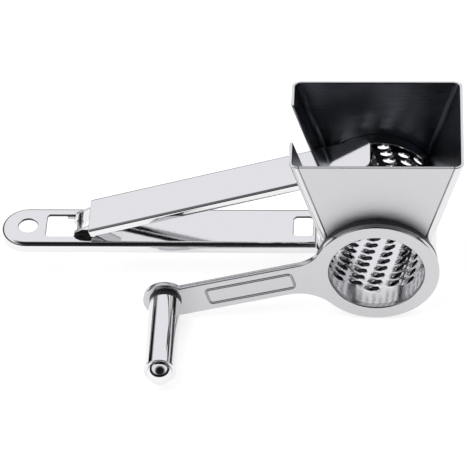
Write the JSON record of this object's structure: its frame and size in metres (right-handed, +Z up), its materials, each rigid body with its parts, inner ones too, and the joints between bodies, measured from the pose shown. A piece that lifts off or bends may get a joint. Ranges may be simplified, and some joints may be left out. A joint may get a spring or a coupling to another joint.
{
  "type": "rotary cheese grater",
  "caption": "Hand-cranked grater: a tapered hopper on a barrel with a perforated drum, a flat handle, a hinged presser lever and a crank with a turning knob.",
  "frame": {"origin": "centre of the drum's open mouth, on the front face of the crank ring", "axes": "+X from the handle's hanging end towards the barrel, +Y along the drum axis from the crank into the barrel, +Z up through the hopper"},
  "size_m": [0.2137, 0.116, 0.088],
  "materials": {
    "polished_steel": "mirror-polished stainless steel",
    "satin_steel": "fine satin stainless steel with polished edges",
    "hopper_steel": "fine horizontal satin grain on stainless steel",
    "grating_steel": "pressed stainless sheet with sharp raised teeth",
    "hinge_steel": "plain stainless steel",
    "dark_plastic": "dark acetal with a slight sheen"
  },
  "bodies": {
    "root": {"barrel": "polished_steel", "hopper_shell": "hopper_steel", "hopper_front_panel": "satin_steel", "handle_shell": "polished_steel", "handle_saddle": "polished_steel", "hinge_lugs": "hinge_steel", "hinge_pin": "hinge_steel", "hinge_washers": "hinge_steel"},
    "lever": {"lever_plate": "polished_steel", "lever_fork": "polished_steel", "presser_bracket": "hinge_steel", "presser_shoe": "hinge_steel"},
    "bearing": {"bearing_ring": "dark_plastic"},
    "drum": {"drum_tube": "grating_steel", "drum_rear_rim": "grating_steel", "crank_arm": "satin_steel", "knob_axle": "polished_steel", "axle_washer": "dark_plastic"},
    "knob": {"knob_grip": "polished_steel", "knob_bush_inner": "dark_plastic", "knob_bush_outer": "dark_plastic"}
  },
  "joints": [
    {"name": "lever_lift", "type": "hinge", "parent": "root", "child": "lever", "pos_m": [-0.1385, 0.0358, -0.0074], "axis": [0, -1, 0], "range_deg": [0, 95]},
    {"name": "drum_pull", "type": "slide", "parent": "root", "child": "bearing", "axis": [0, -1, 0], "range_m": [0, 0.07]},
    {"name": "drum_spin", "type": "hinge", "parent": "bearing", "child": "drum", "pos_m": [0, 0, 0], "axis": [0, 1, 0], "continuous": true},
    {"name": "knob_spin", "type": "hinge", "parent": "drum", "child": "knob", "pos_m": [-0.0968, -0.0232, -0.0186], "axis": [0, 1, 0], "continuous": true}
  ]
}
